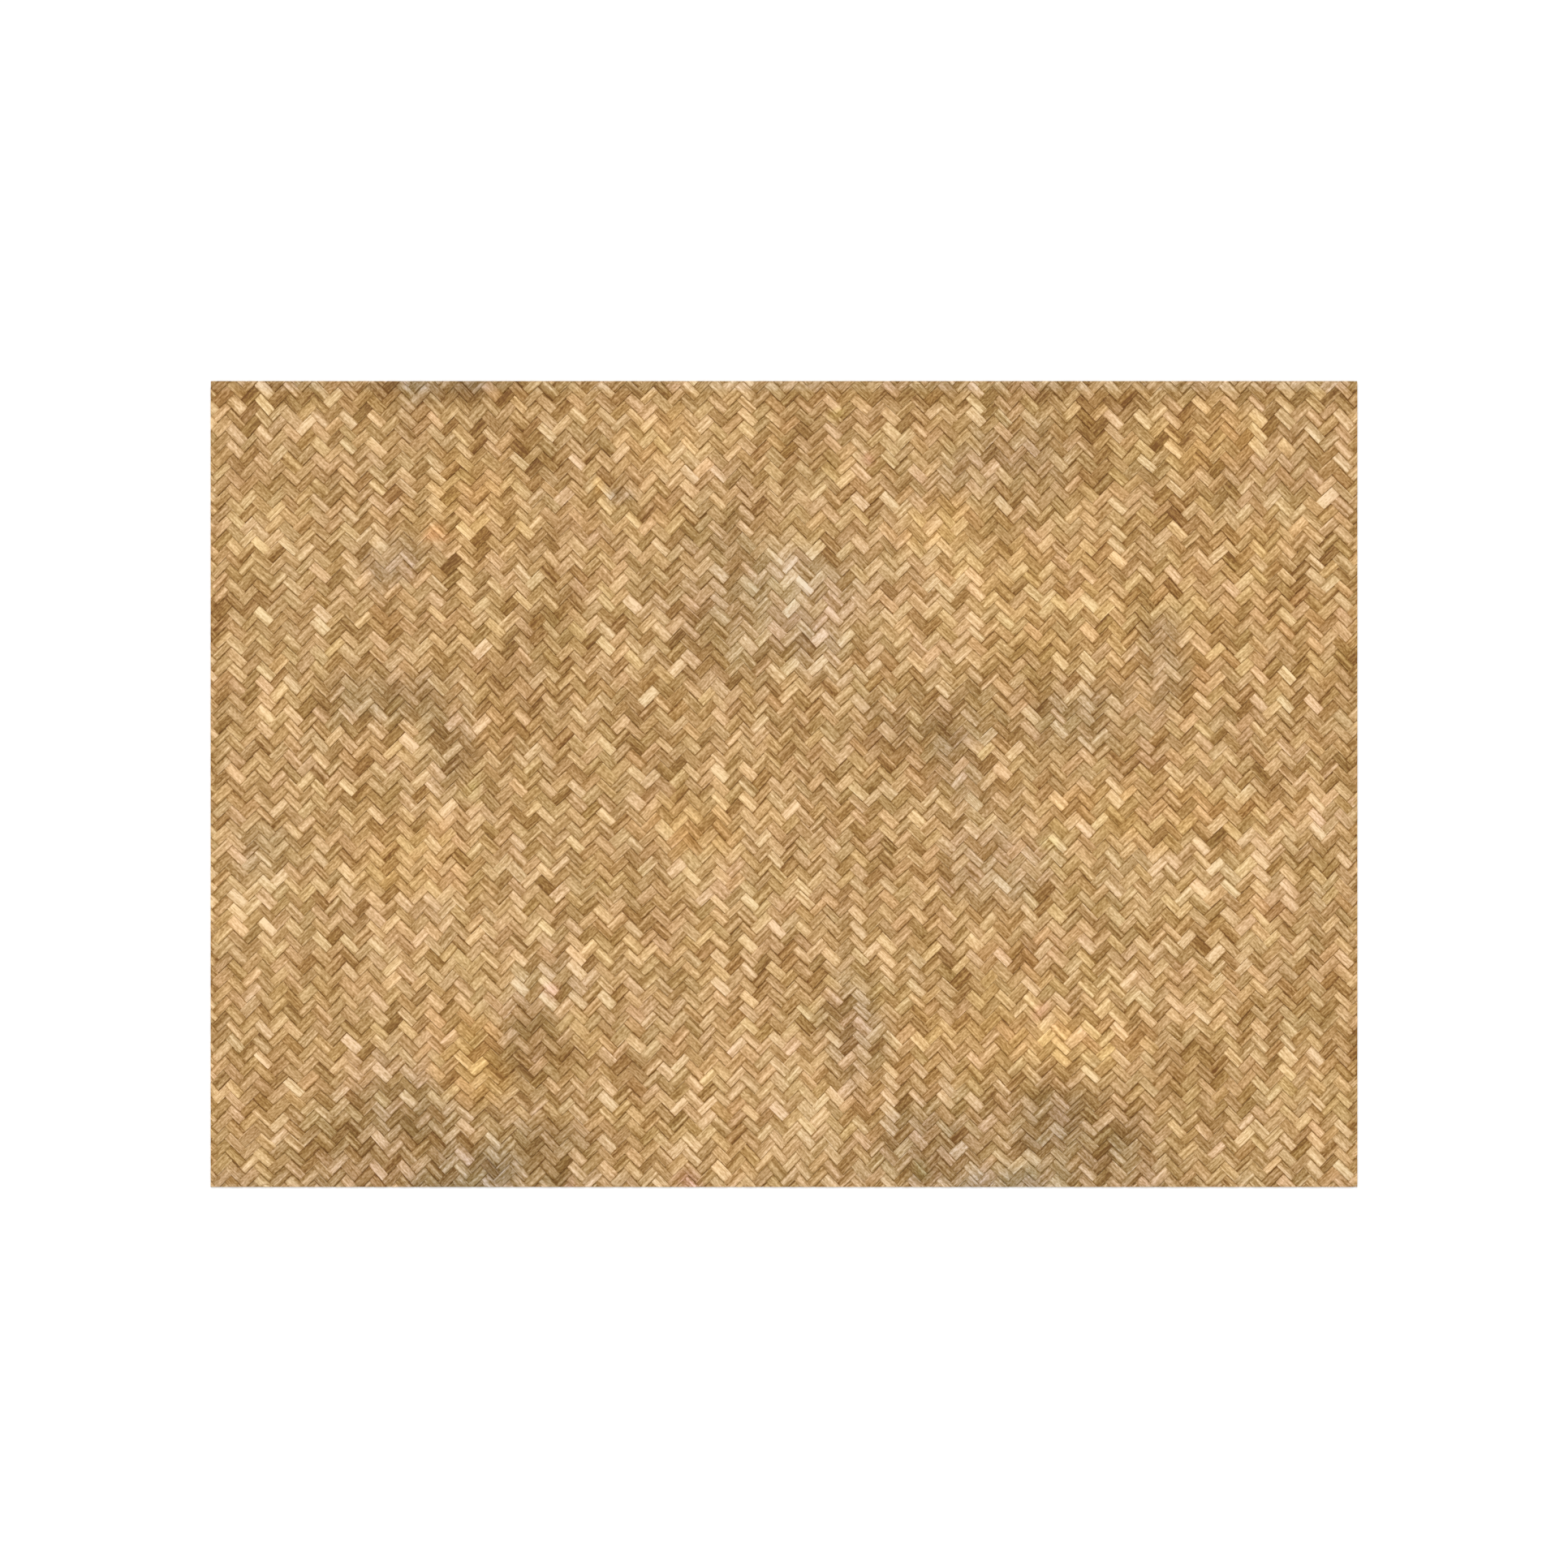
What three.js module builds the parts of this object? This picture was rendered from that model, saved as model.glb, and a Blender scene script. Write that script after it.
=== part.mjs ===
// Woven rattan rug: one flat rectangular mat of flat splints, lying on a floor.
// Units are millimetres, +Z is up. The origin is the middle of the underside,
// and +X runs along the rug's long side.

import * as THREE from 'three';

// Driving dimensions
const RUG_LENGTH = 1850;
const RUG_WIDTH = 1300;
const SPLINT_THICKNESS = 1.2;
const SPLINTS_AT_A_CROSSING = 2;
const BOW_OF_A_FLOAT = 0.3;

// Wherever two splints cross they lie one on the other, and each face of the
// mat stands a little higher where a splint bows over the two that it crosses.
const FACES = 2;
const RUG_THICKNESS = SPLINTS_AT_A_CROSSING * SPLINT_THICKNESS + FACES * BOW_OF_A_FLOAT;

// Finish: dry, unvarnished rattan
const RATTAN_COLOUR = 0xc09b6a;
const RATTAN_ROUGHNESS = 0.7;
const RATTAN_METALNESS = 0;

// The rug's plan: all four edges are cut straight across the weave.
function cutOutline(length, width) {
  const outline = new THREE.Shape();
  outline.moveTo(-length / 2, -width / 2);
  outline.lineTo(length / 2, -width / 2);
  outline.lineTo(length / 2, width / 2);
  outline.lineTo(-length / 2, width / 2);
  outline.closePath();
  return outline;
}

function wovenMat() {
  const outline = cutOutline(RUG_LENGTH, RUG_WIDTH);
  const geometry = new THREE.ExtrudeGeometry(outline, {
    depth: RUG_THICKNESS,
    bevelEnabled: false,
  });
  const material = new THREE.MeshStandardMaterial({
    color: RATTAN_COLOUR,
    roughness: RATTAN_ROUGHNESS,
    metalness: RATTAN_METALNESS,
  });
  const mat = new THREE.Mesh(geometry, material);
  mat.name = 'woven_mat';
  return mat;
}

const rug = new THREE.Group();
rug.name = 'rattan_rug';
rug.add(wovenMat());

export default rug;
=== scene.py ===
import math
from collections import namedtuple

import bpy
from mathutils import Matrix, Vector


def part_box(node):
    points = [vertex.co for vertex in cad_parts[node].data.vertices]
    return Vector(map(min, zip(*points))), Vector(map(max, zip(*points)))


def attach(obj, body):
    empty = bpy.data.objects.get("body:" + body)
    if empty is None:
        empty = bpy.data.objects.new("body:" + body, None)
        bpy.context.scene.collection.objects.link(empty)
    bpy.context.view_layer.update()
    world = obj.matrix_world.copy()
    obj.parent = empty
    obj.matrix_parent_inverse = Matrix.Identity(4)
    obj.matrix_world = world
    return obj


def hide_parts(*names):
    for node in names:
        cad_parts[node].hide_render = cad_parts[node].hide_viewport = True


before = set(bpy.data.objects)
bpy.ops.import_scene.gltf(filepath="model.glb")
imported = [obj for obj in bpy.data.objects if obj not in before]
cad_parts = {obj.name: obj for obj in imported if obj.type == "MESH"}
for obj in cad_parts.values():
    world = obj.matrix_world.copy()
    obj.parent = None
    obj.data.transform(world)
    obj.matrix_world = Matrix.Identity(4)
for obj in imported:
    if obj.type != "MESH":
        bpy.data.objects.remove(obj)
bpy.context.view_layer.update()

MM = 0.001

# The rug's size, from the frame
LOW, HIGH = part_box("woven_mat")
RUG_LENGTH = HIGH.x - LOW.x
RUG_WIDTH = HIGH.y - LOW.y
RUG_THICKNESS = HIGH.z - LOW.z

# The splints: flat strips of rattan at 45 degrees to the rug's edges
SPLINT_PITCH = 16.2 * MM
SPLINT_GAP = 0.4 * MM
UNEVENNESS = 2.3 * MM
SPLINT_THICKNESS = 1.2 * MM
FLAT_OF_FACE = 0.94
FLAT_OF_EDGE = 0.84
SECTION_POINTS = 8

# The weave: each splint runs over two crossing splints, then under two
FLOAT_PITCHES = 2
DIP_SHARPNESS = 2.6
RINGS_PER_FLOAT = 5
RING_GATHER = 0.1
FIRST_RISING_COLUMN = 17.7 * MM
WANDER = 15 * MM
WANDER_SIZE = 320 * MM
WANDER_MARGIN = 90 * MM
WANDER_ROUGHNESS = 0.4
SPARE_FLOATS = 4
WELD = 0.02 * MM
NARROWEST_CORNER = 2 * MM
CREASE_ANGLE = math.radians(35)
WANDER_SEED = 7
RISING_SEED = 11
FALLING_SEED = 12

# Keeps the numbers of rising splints apart from those of falling ones
NUMBERS_APART = 200

# How much of a map row a splint fills, to each side of the row's middle
MAP_ROW_FILL = 0.45

NOISE_DETAIL = 2.0

# The splints of each direction are shared out in turn over two pieces
PIECES_PER_DIRECTION = 2

# The photograph's frame
PHOTO_SIDE_PX = 1932
PHOTO_RUG_LENGTH_PX = 1413

# What the studio does to a colour: its light on the rug, and the white sheen on top
LIGHT_ON_RUG = 1.085
SHEEN = 0.038

ROOT_HALF = math.sqrt(0.5)

Stain = namedtuple("Stain", "x y reach_x reach_y grey dark")

# Weathered patches, from the photograph: place and reach in millimetres from the rug's middle,
# then how much greyer and how much darker, in screen steps of which black to white has 255
STAINS = (
    # Grey and dirty
    Stain(-560, -600, 280, 110, 7, 8),
    Stain(-510, -645, 85, 60, 10, 10),
    Stain(-640, -500, 75, 80, 4, 4),
    Stain(-740, -580, 62, 40, 0, 18),
    Stain(-600, -575, 72, 44, 0, 11),
    Stain(-390, -610, 78, 62, 2, 17),
    Stain(-400, -425, 62, 62, 5, 24),
    Stain(370, -595, 270, 95, 7, 8),
    Stain(375, -645, 95, 45, 8, 1),
    Stain(430, -540, 60, 48, 8, 11),
    Stain(225, -575, 80, 60, 4, 7),
    Stain(535, -585, 80, 70, 4, 11),
    Stain(110, -390, 54, 85, 9, 9),
    Stain(-20, 300, 175, 125, 7, 2),
    Stain(-10, 315, 65, 65, 3, -10),
    Stain(-110, 275, 48, 70, 0, 8),
    Stain(60, 210, 50, 55, 5, -2),
    Stain(330, 105, 270, 55, 5, 6),
    Stain(230, 85, 110, 38, 3, 9),
    Stain(285, 15, 50, 70, 6, 6),
    Stain(470, 140, 70, 50, 3, 0),
    Stain(610, 205, 44, 80, 9, 8),
    Stain(340, -130, 95, 75, 5, 4),
    Stain(-650, 140, 105, 52, 8, 12),
    Stain(-540, 70, 42, 65, 7, 10),
    Stain(-620, 365, 52, 48, 8, 4),
    Stain(-545, 655, 95, 36, 12, 9),
    Stain(360, 530, 110, 70, 5, 4),
    Stain(-830, -130, 60, 65, 4, 0),
    Stain(-380, -325, 70, 50, 4, 0),
    # Golden
    Stain(-490, 460, 75, 90, -6, -4),
    Stain(255, 410, 90, 45, -5, 0),
    Stain(600, 300, 420, 150, -3, 0),
    Stain(-155, -60, 80, 45, -5, 0),
    Stain(-600, -120, 100, 65, -5, 0),
    Stain(620, -45, 230, 50, -5, 0),
    Stain(460, -425, 105, 42, -4, -12),
    Stain(360, -390, 190, 100, -3, 0),
    Stain(690, 560, 105, 45, -5, 0),
    Stain(-200, 560, 85, 50, -5, 0),
    Stain(-500, -440, 58, 85, -7, 6),
    # Brown
    Stain(-410, 530, 34, 58, 0, 20),
    Stain(-480, 590, 150, 60, 0, 4),
    Stain(500, 530, 36, 58, 0, 20),
    Stain(480, 600, 120, 50, 0, 5),
    Stain(530, 640, 75, 45, 0, 12),
    Stain(-390, 640, 60, 40, 0, 9),
    Stain(-375, 260, 50, 80, 0, 18),
    Stain(-440, 130, 50, 64, 0, 15),
    Stain(-80, 400, 42, 58, 0, 16),
    Stain(640, 150, 52, 48, 0, 13),
    Stain(790, 250, 60, 60, 0, 8),
    Stain(650, -460, 58, 48, 0, 13),
    Stain(-915, 250, 28, 36, 0, 28),
    Stain(-915, 35, 24, 32, 0, 28),
    Stain(915, 210, 22, 34, 0, 28),
    Stain(915, -430, 22, 34, 0, 28),
    # Bleached
    Stain(-840, 415, 58, 54, 0, -16),
    Stain(-900, 500, 60, 70, 0, -10),
    Stain(-710, 550, 84, 54, 0, -10),
    Stain(-140, 530, 74, 48, 0, -6),
    Stain(260, 325, 230, 125, 0, -8),
    Stain(300, 330, 60, 60, 0, -5),
    Stain(400, 500, 55, 45, 0, -9),
    Stain(-840, -220, 64, 85, 0, -11),
    Stain(-580, -220, 140, 80, 0, -9),
    Stain(-110, -150, 90, 64, 0, -11),
    Stain(-5, 0, 36, 62, 0, -11),
    Stain(650, -165, 140, 85, 0, -14),
    Stain(850, -45, 58, 58, 0, -14),
    Stain(410, -350, 100, 60, 0, -11),
    Stain(-30, -500, 150, 130, 0, -9),
    Stain(800, -490, 95, 64, 0, -9),
    Stain(900, -585, 60, 60, 0, -10),
)

Speck = namedtuple("Speck", "x y reach ruddy grey")

# Small dabs of colour: place and reach in millimetres, ruddy above 0 and green below, then greyness
SPECKS = (
    Speck(-560, 412, 18, 1.1, -9),
    Speck(135, 516, 15, 1.2, 1),
    Speck(-382, -338, 15, 1.1, 1),
    Speck(407, -367, 15, 1.1, 0),
    Speck(-331, -643, 14, 1.2, 3),
    Speck(-141, -643, 14, 1.1, 3),
    Speck(427, -94, 17, -0.9, -3),
    Speck(-505, -18, 17, -1.0, -2),
    Speck(80, 587, 17, -1.0, -6),
    Speck(229, -618, 16, -1.0, 2),
    Speck(-258, 469, 15, 0, 10),
    Speck(-296, 484, 14, 0, -8),
)

# The far edge has a narrow greyed strip, and a darker band beside it
STRIP_WIDTH = 15 * MM
BAND_WIDTH = 22 * MM
STRIP_BLUR = 5 * MM
STRIP_GREY = 6.0
STRIP_DARK = 1.0
BAND_DARK = 14.0

# The near edge is greyed more softly
NEAR_EDGE_REACH = 45 * MM
NEAR_EDGE_GREY = 4.0
NEAR_EDGE_DARK = 1.0

Clouds = namedtuple("Clouds", "layer size strength")

# Unevenness of the weathering and of the painted sheen: a layer of noise, the size of its clouds and its
# strength, in the same screen steps, but as a share for ruddiness and for the patches
PATCH_CLOUDS = Clouds(20.0, 55 * MM, 1.5)
GREY_CLOUDS = Clouds(21.0, 150 * MM, 7.0)
RUDDY_CLOUDS = Clouds(22.0, 60 * MM, 1.5)
DARK_CLOUDS = Clouds(23.0, 80 * MM, 6.0)
# Painted sheen: rising splints are set darker than falling ones, as light falls on them, by some steps
# and unevenly by clouds
PAINTED_SHEEN_CLOUDS = Clouds(27.0, 130 * MM, 50.0)
RISING_PAINTED_SHADE = 4.0

# A splint's own tone, and how it comes and goes from float to float
TONE_OF_SPLINT = 6.0
TONE_OF_SPLINT_SEED = 25
TONE_ALONG_SPLINT = 115.0
TONE_ALONG_LAYER = 24.0
TONE_PER_FLOAT = 0.15
TONE_PER_SPLINT = 5.3

# A patch is full to its core and ends at its rim, in reaches, along a ragged line
PATCH_CORE = 0.4
PATCH_RIM = 1.4
RAGGEDNESS = 90 * MM
RAGGED_SIZE = 100 * MM
RAGGED_LAYER = 26.0


class Wire:
    """One output of a node. Arithmetic on it adds the Math nodes that work it out."""

    def __init__(self, bench, socket):
        self.bench = bench
        self.socket = socket

    def maths(self, operation, *others):
        return self.bench.maths(operation, self, *others)

    def __add__(self, other):
        return self.maths("ADD", other)

    def __radd__(self, other):
        return self.bench.maths("ADD", other, self)

    def __sub__(self, other):
        return self.maths("SUBTRACT", other)

    def __rsub__(self, other):
        return self.bench.maths("SUBTRACT", other, self)

    def __mul__(self, other):
        return self.maths("MULTIPLY", other)

    def __rmul__(self, other):
        return self.bench.maths("MULTIPLY", other, self)

    def __truediv__(self, other):
        return self.maths("DIVIDE", other)

    def __rtruediv__(self, other):
        return self.bench.maths("DIVIDE", other, self)

    def __mod__(self, other):
        return self.maths("FLOORED_MODULO", other)

    def __neg__(self):
        return self.maths("MULTIPLY", -1)

    def __abs__(self):
        return self.maths("ABSOLUTE")

    def __lt__(self, other):
        return self.maths("LESS_THAN", other)

    def __gt__(self, other):
        return self.maths("GREATER_THAN", other)

    def least(self, other):
        return self.maths("MINIMUM", other)

    def most(self, other):
        return self.maths("MAXIMUM", other)

    def within(self, low, high):
        return self.most(low).least(high)

    def ramp(self, start, end):
        """0 below start, 1 above end, and a smooth rise between them."""
        limits = {"Value": self, "From Min": start, "From Max": end}
        settings = {"interpolation_type": "SMOOTHSTEP"}
        return self.bench.add("ShaderNodeMapRange", settings, limits)["Result"]


class Bench:
    """A node tree, with the one method that adds a node to it."""

    def __init__(self, tree):
        self.tree = tree

    def add(self, kind, settings=None, values=None):
        """Adds a node, sets it up, fills its sockets and gives its outputs by name."""
        node = self.tree.nodes.new(kind)
        for name, value in (settings or {}).items():
            if name == "captures":
                for label, sort in value.items():
                    node.capture_items.new(sort, label)
            elif name == "stops":
                set_stops(node.color_ramp, value)
            else:
                setattr(node, name, value)
        for name, value in (values or {}).items():
            socket = open_socket(node.inputs, name)
            if isinstance(value, Wire):
                self.tree.links.new(value.socket, socket)
            else:
                socket.default_value = value
        return {s.name: Wire(self, s) for s in node.outputs if s.enabled}

    def maths(self, operation, *terms):
        values = dict(enumerate(terms))
        return self.add("ShaderNodeMath", {"operation": operation}, values)["Value"]

    def vector(self, x, y, z):
        return self.add("ShaderNodeCombineXYZ", None, {"X": x, "Y": y, "Z": z})["Vector"]

    def parts(self, vector):
        made = self.add("ShaderNodeSeparateXYZ", None, {"Vector": vector})
        return made["X"], made["Y"], made["Z"]


def open_socket(sockets, name):
    """A node's socket by number, or the first one in use of that name."""
    if isinstance(name, int):
        return sockets[name]
    return next(s for s in sockets if s.name == name and s.enabled)


def set_stops(ramp, stops):
    """Gives a colour ramp its stops, a dictionary of place to colour."""
    while len(ramp.elements) < len(stops):
        ramp.elements.new(0.5)
    for element, (place, colour) in zip(ramp.elements, stops.items()):
        element.position = place
        element.color = colour


def base_colour(red, green, blue):
    """The colour that the studio's light shows as these screen values from 0 to 255."""
    def matt(value):
        share = value / 255
        seen = share / 12.92 if share <= 0.04045 else ((share + 0.055) / 1.055) ** 2.4
        return max(seen - SHEEN, 0.0) / LIGHT_ON_RUG

    return matt(red), matt(green), matt(blue), 1.0


# The weave

WEAVE_INPUTS = {
    "Rug Length": "NodeSocketFloat",
    "Rug Width": "NodeSocketFloat",
    "Rug Thickness": "NodeSocketFloat",
    "Splint Pitch": "NodeSocketFloat",
    "Splint Gap": "NodeSocketFloat",
    "Unevenness": "NodeSocketFloat",
    "Splint Thickness": "NodeSocketFloat",
    "Dip Sharpness": "NodeSocketFloat",
    "Lean": "NodeSocketFloat",
    "Row Offset": "NodeSocketFloat",
    "Crossing Offset": "NodeSocketFloat",
    "Float Start": "NodeSocketInt",
    "First Splint": "NodeSocketInt",
    "Splint Step": "NodeSocketInt",
    "Splint Count": "NodeSocketInt",
    "Ring Count": "NodeSocketInt",
    "Wander": "NodeSocketFloat",
    "Wander Size": "NodeSocketFloat",
    "Wander Seed": "NodeSocketInt",
    "Row Seed": "NodeSocketInt",
    "Crossing Seed": "NodeSocketInt",
    "Rattan": "NodeSocketMaterial",
}


def splint_blank(bench, ring_count):
    """One closed straight splint, with the number of each ring and its section's outline."""
    line = bench.add("GeometryNodeCurvePrimitiveLine")["Curve"]
    rings = bench.add("GeometryNodeResampleCurve", {"mode": "COUNT"},
                      {"Curve": line, "Count": ring_count})["Curve"]
    index = bench.add("GeometryNodeInputIndex")["Index"]
    path = bench.add("GeometryNodeCaptureAttribute", {"captures": {"Ring": "FLOAT"}},
                     {"Geometry": rings, "Ring": index})
    circle = bench.add("GeometryNodeCurvePrimitiveCircle", None,
                       {"Resolution": SECTION_POINTS, "Radius": 1.0})["Curve"]
    place = bench.add("GeometryNodeInputPosition")["Position"]
    outline = bench.add("GeometryNodeCaptureAttribute", {"captures": {"Outline": "VECTOR"}},
                        {"Geometry": circle, "Outline": place})
    blank = bench.add("GeometryNodeCurveToMesh", None,
                      {"Curve": path["Geometry"], "Profile Curve": outline["Geometry"],
                       "Fill Caps": True})["Mesh"]
    return blank, path["Ring"], outline["Outline"]


def all_splints(bench, blank, numbers):
    """A copy of the blank for each splint number, realized."""
    count, first, step, past_corner = numbers
    points = bench.add("GeometryNodePoints", None, {"Count": count})["Points"]
    index = bench.add("GeometryNodeInputIndex")["Index"]
    numbered = bench.add("GeometryNodeCaptureAttribute", {"captures": {"Number": "FLOAT"}},
                         {"Geometry": points, "Number": first + index * step})
    number = numbered["Number"]
    needed = bench.add("GeometryNodeDeleteGeometry", {"domain": "POINT"},
                       {"Geometry": numbered["Geometry"], "Selection": past_corner(number)})["Geometry"]
    copies = bench.add("GeometryNodeInstanceOnPoints", None,
                       {"Points": needed, "Instance": blank})["Instances"]
    splints = bench.add("GeometryNodeRealizeInstances", None, {"Geometry": copies})
    return splints["Geometry"], number


def weathering_and_sheen(bench, given, x, y, floats, number):
    """Greyness, ruddiness and darkness of a point: patches and greyed edges, unevenly cloudy, and a
    painted sheen that sets the two directions of splints apart in brightness.
    """
    def noise(spot, size):
        values = {"Vector": spot, "Scale": 1 / size, "Detail": NOISE_DETAIL}
        return bench.add("ShaderNodeTexNoise", None, values)

    def clouds(kind):
        spot = bench.vector(x, y, kind.layer)
        return (noise(spot, kind.size)["Fac"] - 0.5) * kind.strength

    grey = clouds(GREY_CLOUDS)
    ruddy = clouds(RUDDY_CLOUDS)
    # Painted sheen: the two directions of splints differ in brightness, rising darker, unevenly in clouds
    dark = clouds(DARK_CLOUDS) + given["Lean"] * (RISING_PAINTED_SHADE + clouds(PAINTED_SHEEN_CLOUDS))

    # Along a splint its own tone comes and goes
    tone_spot = bench.vector(floats * TONE_PER_FLOAT, number * TONE_PER_SPLINT, TONE_ALONG_LAYER)
    own_tone = noise(tone_spot, 1.0)["Fac"] - 0.5
    chance = bench.add("FunctionNodeRandomValue", None,
                       {"Min": -1.0, "Max": 1.0, "ID": number, "Seed": TONE_OF_SPLINT_SEED})
    dark = dark + own_tone * TONE_ALONG_SPLINT + chance["Value"] * TONE_OF_SPLINT

    # Patches have ragged outlines, and are uneven
    stray = noise(bench.vector(x, y, RAGGED_LAYER), RAGGED_SIZE)["Color"]
    even_spot = bench.vector(x - RAGGEDNESS / 2, y - RAGGEDNESS / 2, 0.0)
    spot = bench.add("ShaderNodeVectorMath", {"operation": "MULTIPLY_ADD"},
                     {0: stray, 1: (RAGGEDNESS, RAGGEDNESS, 0.0), 2: even_spot})["Vector"]

    def patch_at(place, reach_x, reach_y):
        """1 in the middle of a patch and 0 outside it."""
        per_reach = 1 / (reach_x * MM), 1 / (reach_y * MM), 0.0
        middle = -place.x / reach_x, -place.y / reach_y, 0.0
        reaches = bench.add("ShaderNodeVectorMath", {"operation": "MULTIPLY_ADD"},
                            {0: spot, 1: per_reach, 2: middle})["Vector"]
        away = bench.add("ShaderNodeVectorMath", {"operation": "LENGTH"}, {0: reaches})["Value"]
        return away.ramp(PATCH_RIM, PATCH_CORE)

    stained = dirty = bench.maths("ADD", 0.0, 0.0)
    for stain in STAINS:
        patch = patch_at(stain, stain.reach_x, stain.reach_y)
        if stain.grey:
            stained = patch.maths("MULTIPLY_ADD", stain.grey, stained)
        if stain.dark:
            dirty = patch.maths("MULTIPLY_ADD", stain.dark, dirty)
    for speck in SPECKS:
        patch = patch_at(speck, speck.reach, speck.reach)
        ruddy = patch.maths("MULTIPLY_ADD", speck.ruddy, ruddy)
        stained = patch.maths("MULTIPLY_ADD", speck.grey, stained)
    uneven = 1 + clouds(PATCH_CLOUDS)
    grey = grey + stained * uneven
    dark = dark + dirty * uneven

    from_far_edge = given["Rug Width"] / 2 - y
    past_strip = from_far_edge.ramp(STRIP_WIDTH - STRIP_BLUR, STRIP_WIDTH + STRIP_BLUR)
    band_end = STRIP_WIDTH + BAND_WIDTH
    past_band = from_far_edge.ramp(band_end - 2 * STRIP_BLUR, band_end + 2 * STRIP_BLUR)
    strip = (1 - past_strip) * uneven
    grey = grey + strip * STRIP_GREY
    dark = dark + strip * STRIP_DARK + (past_strip - past_band) * uneven * BAND_DARK
    near_edge = (given["Rug Width"] / 2 + y).ramp(NEAR_EDGE_REACH, 0.0) * uneven
    grey = grey + near_edge * NEAR_EDGE_GREY
    dark = dark + near_edge * NEAR_EDGE_DARK
    return grey, ruddy, dark


def weave_tree():
    """The node tree that weaves one piece: every second splint of one direction."""
    tree = bpy.data.node_groups.new("twill_of_splints", "GeometryNodeTree")
    for name, sort in WEAVE_INPUTS.items():
        tree.interface.new_socket(name=name, in_out="INPUT", socket_type=sort)
    tree.interface.new_socket(name="Geometry", in_out="OUTPUT", socket_type="NodeSocketGeometry")
    bench = Bench(tree)
    given = bench.add("NodeGroupInput")
    length, width = given["Rug Length"], given["Rug Width"]
    pitch = given["Splint Pitch"]

    corner = (length + width) * (ROOT_HALF / 2)

    def uneven(boundary, seed):
        """How far the boundary between two neighbouring splints lies from its even place."""
        chance = bench.add("FunctionNodeRandomValue", None,
                           {"Min": -1.0, "Max": 1.0, "ID": boundary, "Seed": seed})["Value"]
        return chance * given["Unevenness"]

    def boundaries(splint):
        """Both long edges of a splint's strip of the rug."""
        even = (splint + given["Row Offset"]) * pitch
        low = even - pitch / 2 + uneven(splint - 1, given["Row Seed"])
        high = even + pitch / 2 + uneven(splint, given["Row Seed"])
        return low, high

    def past_corner(splint):
        low, high = boundaries(splint)
        return low.most(-high) > corner - NARROWEST_CORNER

    def cut_at(line):
        """Where the rug's edges cut a line along the splints off."""
        start = (line - length * ROOT_HALF).most(-line - width * ROOT_HALF)
        end = (line + length * ROOT_HALF).least(width * ROOT_HALF - line)
        return start, end

    blank, ring, outline = splint_blank(bench, given["Ring Count"])
    numbers = given["Splint Count"], given["First Splint"], given["Splint Step"], past_corner
    splints, number = all_splints(bench, blank, numbers)

    # Across: the splint's middle line, then the place on its section
    low, high = boundaries(number)
    middle = (low + high) / 2
    outline_x, outline_y, _ = bench.parts(outline)
    across = (outline_x * (FLAT_OF_FACE / ROOT_HALF)).within(-1, 1)
    height = (outline_y * (FLAT_OF_EDGE / ROOT_HALF)).within(-1, 1)
    row = (middle + across * (high - low - given["Splint Gap"]) / 2).within(-corner, corner)

    # Along: rings gather where the splint dips, and the rug's edges cut it off
    dip = number + given["Float Start"] + given["Crossing Offset"] + 0.5
    step = ring * (FLOAT_PITCHES / RINGS_PER_FLOAT)
    half_run = (given["Ring Count"] * (0.5 / RINGS_PER_FLOAT)).maths("FLOOR") * FLOAT_PITCHES
    gathered = step - (step * math.pi).maths("SINE") * RING_GATHER
    start, end = cut_at(middle)
    centre = ((start + end) / (pitch * (2 * FLOAT_PITCHES))).maths("ROUND") * FLOAT_PITCHES
    run = gathered - half_run + centre + dip % FLOAT_PITCHES

    def float_at(place):
        return (place - dip) / FLOAT_PITCHES

    def crossing_shift(place):
        """How far the crossing splints' unevenness moves a place along the splint."""
        before = float_at(place).maths("FLOOR")
        boundary = number + given["Float Start"] + before * FLOAT_PITCHES
        here = uneven(boundary, given["Crossing Seed"])
        following = uneven(boundary + FLOAT_PITCHES, given["Crossing Seed"])
        return here + (following - here) * (float_at(place) - before)

    along = (run * pitch + crossing_shift(run)).within(*cut_at(row))
    floats = float_at((along - crossing_shift(along / pitch)) / pitch)

    # Up: over two crossing splints, then under two
    wave = ((floats * math.pi).maths("SINE") * given["Dip Sharpness"]).maths("TANH")
    crest = given["Dip Sharpness"].maths("TANH")
    half_thick = given["Splint Thickness"] / 2
    lift = given["Rug Thickness"] / 2 - half_thick
    z = given["Rug Thickness"] / 2 - wave / crest * lift + height * half_thick

    # Place on the rug, with the slow wander of a hand-woven mat, which its cut edges don't show
    x = (along - row) * ROOT_HALF * given["Lean"]
    y = (along + row) * ROOT_HALF
    noise = bench.add("ShaderNodeTexNoise", None,
                      {"Vector": bench.vector(x, y, given["Wander Seed"]),
                       "Scale": 1 / given["Wander Size"], "Detail": NOISE_DETAIL,
                       "Roughness": WANDER_ROUGHNESS})["Color"]
    drift_x, drift_y, _ = bench.parts(noise)
    from_end = (length / 2 - abs(x)).ramp(0.0, WANDER_MARGIN)
    from_side = (width / 2 - abs(y)).ramp(0.0, WANDER_MARGIN)
    x = x + (drift_x - 0.5) * 2 * given["Wander"] * from_end
    y = y + (drift_y - 0.5) * 2 * given["Wander"] * from_side
    placed = bench.add("GeometryNodeSetPosition", None,
                       {"Geometry": splints, "Position": bench.vector(x, y, z)})["Geometry"]

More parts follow.
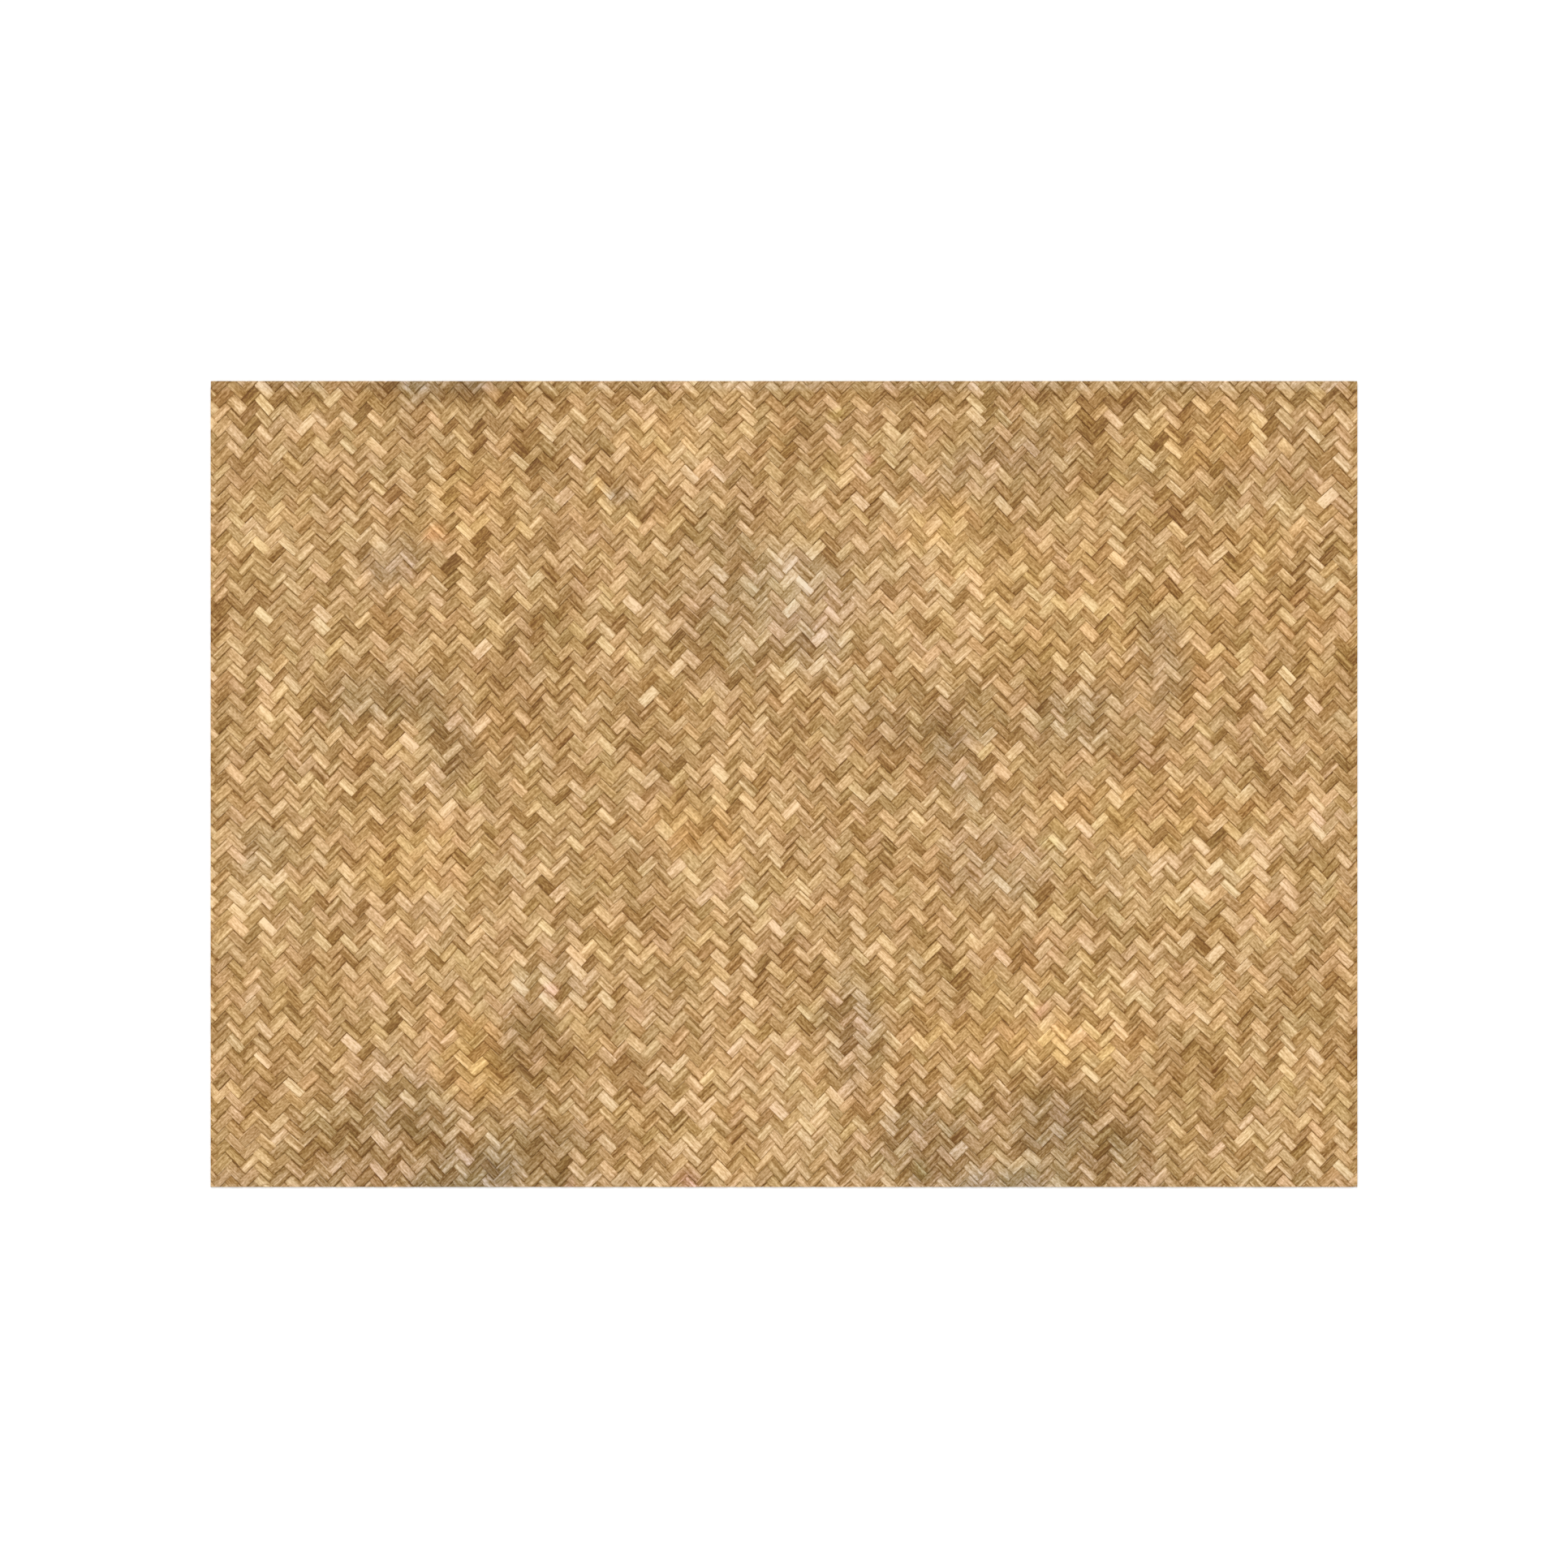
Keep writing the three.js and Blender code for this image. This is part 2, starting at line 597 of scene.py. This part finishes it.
    # What the material reads: floats along, place across, the splint's number, and its weathering with
    # the painted sheen
    known_number = number + NUMBERS_APART * given["Lean"]
    kept = bench.add("GeometryNodeStoreNamedAttribute", {"data_type": "FLOAT_VECTOR"},
                     {"Geometry": placed, "Name": "splint",
                      "Value": bench.vector(floats, across, known_number)})["Geometry"]
    weather = weathering_and_sheen(bench, given, x, y, floats, known_number)
    kept = bench.add("GeometryNodeStoreNamedAttribute", {"data_type": "FLOAT_VECTOR"},
                     {"Geometry": kept, "Name": "weather", "Value": bench.vector(*weather)})["Geometry"]

    # A map with a row for each long splint, or for two short ones end to end, faces overlaid
    longest = width * (2 * ROOT_HALF)
    turning = (length - width) * (ROOT_HALF / 2)
    row_step = pitch * given["Splint Step"]
    rows = (length * ROOT_HALF / row_step).maths("CEIL") * row_step
    even_row = (number + given["Row Offset"]) * pitch
    second = even_row < -turning
    first_u = (along - start) / longest
    second_u = 1 - (end - along) / longest
    u = first_u + (second_u - first_u) * second
    v = ((even_row + turning) % rows + row_step * (0.5 + MAP_ROW_FILL * across)) / (rows + row_step)
    mapped = bench.add("GeometryNodeStoreNamedAttribute", {"data_type": "FLOAT2", "domain": "CORNER"},
                       {"Geometry": kept, "Name": "OFBake", "Value": bench.vector(u, v, 0.0)})["Geometry"]

    # Rings beyond the cut edge lie on it: they are welded, and the splint is closed there
    welded = bench.add("GeometryNodeMergeByDistance", None,
                       {"Geometry": mapped, "Distance": WELD})["Geometry"]
    outward = bench.add("GeometryNodeFlipFaces", None,
                        {"Mesh": welded, "Selection": given["Lean"] < 0})["Mesh"]
    angle = bench.add("GeometryNodeInputMeshEdgeAngle")["Unsigned Angle"]
    smooth = bench.add("GeometryNodeSetShadeSmooth", {"domain": "EDGE"},
                       {"Geometry": outward, "Shade Smooth": angle < CREASE_ANGLE})["Geometry"]
    realized = bench.add("GeometryNodeRealizeInstances", None, {"Geometry": smooth})["Geometry"]
    finished = bench.add("GeometryNodeSetMaterial", None,
                         {"Geometry": realized, "Material": given["Rattan"]})["Geometry"]
    bench.add("NodeGroupOutput", None, {"Geometry": finished})
    return tree


def woven_piece(name, tree, sizes):
    """Runs the weave tree with these sizes and keeps its result as a plain mesh."""
    piece = bpy.data.objects.new(name, bpy.data.meshes.new(name))
    bpy.context.scene.collection.objects.link(piece)
    modifier = piece.modifiers.new("weave", "NODES")
    modifier.node_group = tree
    for socket in tree.interface.items_tree:
        if socket.in_out == "INPUT":
            modifier[socket.identifier] = sizes[socket.name]
    depsgraph = bpy.context.evaluated_depsgraph_get()
    mesh = bpy.data.meshes.new_from_object(piece.evaluated_get(depsgraph), depsgraph=depsgraph)
    piece.modifiers.remove(modifier)
    piece.data = mesh
    mesh.name = name
    return piece


def weave(material):
    """Both directions of splints, rising and falling to the right, each in two pieces."""
    tree = weave_tree()
    furthest = (RUG_LENGTH + RUG_WIDTH) * ROOT_HALF / 2
    last = math.ceil(furthest / SPLINT_PITCH)
    longest = RUG_WIDTH / ROOT_HALF / SPLINT_PITCH / FLOAT_PITCHES
    rings = (2 * math.ceil(longest / 2) + SPARE_FLOATS) * RINGS_PER_FLOAT + 1
    # The columns of rising floats start where the photograph has them
    columns = (FIRST_RISING_COLUMN - RUG_LENGTH / 2) / ROOT_HALF / SPLINT_PITCH
    shift = (columns - 0.5) % 1
    whole = math.floor(columns - 0.5) % (2 * FLOAT_PITCHES)
    sizes = {
        "Rug Length": RUG_LENGTH,
        "Rug Width": RUG_WIDTH,
        "Rug Thickness": RUG_THICKNESS,
        "Splint Pitch": SPLINT_PITCH,
        "Splint Gap": SPLINT_GAP,
        "Unevenness": UNEVENNESS,
        "Splint Thickness": SPLINT_THICKNESS,
        "Dip Sharpness": DIP_SHARPNESS,
        "Splint Step": PIECES_PER_DIRECTION,
        "Splint Count": 2 * math.ceil(last / PIECES_PER_DIRECTION) + 1,
        "Ring Count": rings,
        "Wander": WANDER,
        "Wander Size": WANDER_SIZE,
        "Wander Seed": WANDER_SEED,
        "Rattan": material,
    }
    rising = {"Lean": 1.0, "Row Offset": -shift / 2, "Crossing Offset": shift / 2,
              "Float Start": whole + 1, "Row Seed": RISING_SEED, "Crossing Seed": FALLING_SEED}
    falling = {"Lean": -1.0, "Row Offset": shift / 2, "Crossing Offset": -shift / 2,
               "Float Start": 2 - whole, "Row Seed": FALLING_SEED, "Crossing Seed": RISING_SEED}
    directions = {"rising": rising, "falling": falling}
    pieces = []
    for direction, facts in directions.items():
        for turn in range(PIECES_PER_DIRECTION):
            first = turn - PIECES_PER_DIRECTION * math.ceil(last / PIECES_PER_DIRECTION)
            name = f"splints_{direction}_{turn + 1}"
            pieces.append(woven_piece(name, tree, {**sizes, **facts, "First Splint": first}))
    return pieces


# The finish

RATTAN_TONES = {
    0.0: base_colour(122, 85, 38),
    0.25: base_colour(157, 120, 73),
    0.5: base_colour(192, 155, 108),
    0.75: base_colour(227, 190, 143),
    1.0: base_colour(252, 220, 175),
}
TONE_STEPS = 140
GREY_TINT = (0.84, 0.97, 1.38, 1.0)
GREY_TINT_STEPS = 18
GREEN_TINT = (0.982, 1.028, 0.98, 1.0)
RUDDY_TINT = (1.018, 0.972, 1.02, 1.0)

Grain = namedtuple("Grain", "lengthwise crosswise per_splint detail tone")

# Grain: how often it changes along a float, across half a splint and from splint to splint,
# then its detail and how much it changes the tone
STREAKS = Grain(0.15, 1.3, 7.31, 2.0, 1.25)
FLECKS = Grain(6.0, 3.6, 3.77, 2.0, 0.92)
FIBRES = Grain(1.1, 15.0, 5.19, 1.0, 0.5)

# The number of the draw that each of these takes for a float
EDGE_SHADE_DRAW = 3.0
TIP_SHADE_DRAW = 5.0
PALE_DRAW = 6.0
DUSKY_DRAW = 7.0
TONE_DRAW = 8.0
GREY_DRAW = 9.0
RUDDY_DRAW = 10.0
SIDE_DRAW = 11.0

# What makes up a float's tone, from 0 for the darkest to 1 for the palest
MIDDLE_TONE = 0.521
TONE_OF_FLOAT = 0.25
PALE_TONE = 0.12
DUSKY_TONE = 0.17
# Painted shade in the crevices along the floats' edges and at their tips
EDGE_SHADE_TONE = 0.48
TIP_SHADE_TONE = 0.12
GREY_OF_FLOAT = 0.35
RUDDY_OF_FLOAT = 0.8

# Where the painted shade along the edges and at the tips starts, and which share of the floats stays
# neither pale nor dusky
EDGE_SHADE_START = 0.66
EDGE_SHADE_WAVER = 0.6
TIP_SHADE_START = 0.38
TIP_SHADE_END = 0.5
NOT_PALE = 0.95
NOT_DUSKY = 0.93
PART_BLUR = 0.5
PART_WAVER = 2.0

DRY_ROUGHNESS = 0.62
STREAK_ROUGHNESS = 0.3
DRY_SPECULAR = 0.3
FIBRE_HEIGHT = 0.25 * MM
FIBRE_BUMP = 0.5


def rattan():
    """Dry rattan: each splint and float has its own tone, with lengthwise grain, and painted shade along
    the floats' edges and at their tips.
    """
    material = bpy.data.materials.new("rattan_splint")
    material.use_nodes = True
    material.node_tree.nodes.clear()
    bench = Bench(material.node_tree)

    def attribute(name):
        vector = bench.add("ShaderNodeAttribute", {"attribute_name": name})["Vector"]
        return bench.parts(vector)

    def chance(draw):
        """A number from 0 to 1 for each float of each splint."""
        spot = bench.vector(number, which, draw)
        return bench.add("ShaderNodeTexWhiteNoise", None, {"Vector": spot})["Value"]

    def grain(kind):
        """The grain's noise, about zero."""
        spot = bench.vector(floats * kind.lengthwise, across * kind.crosswise, number * kind.per_splint)
        values = {"Vector": spot, "Scale": 1.0, "Detail": kind.detail}
        return bench.add("ShaderNodeTexNoise", None, values)["Fac"] - 0.5

    def mixed(blend, factor, first, second):
        settings = {"data_type": "RGBA", "blend_type": blend, "clamp_factor": False}
        return bench.add("ShaderNodeMix", settings, {"Factor": factor, "A": first, "B": second})["Result"]

    floats, across, number = attribute("splint")
    grey, ruddy, dark = attribute("weather")
    which = floats.maths("FLOOR")
    from_middle = abs(floats - which - 0.5)

    streaks = grain(STREAKS)
    flecks = grain(FLECKS)
    fibres = grain(FIBRES)

    # Painted shade: each long edge of a float, in the crevice beside its neighbour, darkens by its own
    # draw, and its tips, where it dips under the crossing splints, by one more
    one_side = chance(across.maths("SIGN") + EDGE_SHADE_DRAW)
    edge_shade = (abs(across) + streaks * EDGE_SHADE_WAVER).ramp(EDGE_SHADE_START, 1.0) * one_side * one_side
    tip_shade = from_middle.ramp(TIP_SHADE_START, TIP_SHADE_END) * chance(TIP_SHADE_DRAW)

    # A few floats are pale or dusky over part of their width
    side = chance(SIDE_DRAW) * 2 - 1
    part = (across * side + streaks * PART_WAVER).ramp(-PART_BLUR, PART_BLUR)
    pale = chance(PALE_DRAW).ramp(NOT_PALE, 1.0) * part
    dusky = chance(DUSKY_DRAW).ramp(NOT_DUSKY, 1.0) * part

    tone = MIDDLE_TONE + (chance(TONE_DRAW) - 0.5) * TONE_OF_FLOAT - dark / TONE_STEPS
    tone = tone + streaks * STREAKS.tone + flecks * FLECKS.tone + fibres * FIBRES.tone
    tone = tone + pale * PALE_TONE - dusky * DUSKY_TONE - edge_shade * EDGE_SHADE_TONE - tip_shade * TIP_SHADE_TONE
    shade = bench.add("ShaderNodeValToRGB", {"stops": RATTAN_TONES}, {"Fac": tone})["Color"]
    greyness = grey / GREY_TINT_STEPS + (chance(GREY_DRAW) - 0.5) * GREY_OF_FLOAT
    shade = mixed("MULTIPLY", greyness, shade, GREY_TINT)
    ruddiness = 0.5 + (chance(RUDDY_DRAW) - 0.5) * RUDDY_OF_FLOAT + ruddy
    tint = mixed("MIX", ruddiness, GREEN_TINT, RUDDY_TINT)
    shade = mixed("MULTIPLY", 1.0, shade, tint)

    normal = bench.add("ShaderNodeBump", None,
                       {"Strength": FIBRE_BUMP, "Distance": FIBRE_HEIGHT, "Height": fibres})
    surface = bench.add("ShaderNodeBsdfPrincipled", None, {
        "Base Color": shade,
        "Roughness": DRY_ROUGHNESS + streaks * STREAK_ROUGHNESS,
        "Specular IOR Level": DRY_SPECULAR,
        "Normal": normal["Normal"],
    })
    bench.add("ShaderNodeOutputMaterial", None, {"Surface": surface["BSDF"]})
    return material


# The studio

FLOOR_REACH = 20.0
FLOOR_DROP = 0.2 * MM
FLOOR_COLOUR = (0.9, 0.9, 0.9, 1.0)
FLOOR_ROUGHNESS = 0.9
FLOOR_SPECULAR = 0.1
WINDOW_ANGLE = math.radians(60)
WINDOW_DIRECTION = Vector((0.35, -1.85, -3.0))
WINDOW_STRENGTH = 1.7
SKY_COLOUR = (1.0, 1.0, 1.0, 1.0)
SKY_STRENGTH = 0.75
LENS_MM = 85.0


def pale_floor():
    """A plain pale floor just under the rug."""
    mesh = bpy.data.meshes.new("floor")
    signs = ((-1, -1), (1, -1), (1, 1), (-1, 1))
    corners = [(FLOOR_REACH * right, FLOOR_REACH * back, 0) for right, back in signs]
    mesh.from_pydata(corners, [], [(0, 1, 2, 3)])
    floor = bpy.data.objects.new("floor", mesh)
    floor.location.z = LOW.z - FLOOR_DROP
    material = bpy.data.materials.new("pale_floor")
    material.use_nodes = True
    surface = material.node_tree.nodes["Principled BSDF"]
    surface.inputs["Base Color"].default_value = FLOOR_COLOUR
    surface.inputs["Roughness"].default_value = FLOOR_ROUGHNESS
    surface.inputs["Specular IOR Level"].default_value = FLOOR_SPECULAR
    mesh.materials.append(material)
    bpy.context.scene.collection.objects.link(floor)
    return floor


def window_light():
    """Even, very soft light from high above the rug's far edge."""
    lamp = bpy.data.lights.new("window", "SUN")
    lamp.angle = WINDOW_ANGLE
    lamp.energy = WINDOW_STRENGTH
    holder = bpy.data.objects.new("window", lamp)
    holder.rotation_mode = "QUATERNION"
    holder.rotation_quaternion = WINDOW_DIRECTION.to_track_quat("-Z", "Y")
    bpy.context.scene.collection.objects.link(holder)


def sky_light():
    """Even white light from all around."""
    world = bpy.data.worlds.new("studio")
    world.use_nodes = True
    background = world.node_tree.nodes["Background"]
    background.inputs["Color"].default_value = SKY_COLOUR
    background.inputs["Strength"].default_value = SKY_STRENGTH
    bpy.context.scene.world = world


def overhead_camera():
    """A camera straight above the rug's middle, which frames it as the photograph does."""
    lens = bpy.data.cameras.new("camera")
    lens.lens = LENS_MM
    frame_width = RUG_LENGTH * PHOTO_SIDE_PX / PHOTO_RUG_LENGTH_PX
    camera = bpy.data.objects.new("camera", lens)
    camera.location.z = HIGH.z + frame_width * lens.lens / lens.sensor_width
    bpy.context.scene.collection.objects.link(camera)
    bpy.context.scene.camera = camera


overhead_camera()
sky_light()
window_light()
bpy.context.scene.view_settings.view_transform = "Standard"
pale_floor()

splints = weave(rattan())
for piece in splints:
    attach(piece, "root")
    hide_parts("woven_mat")
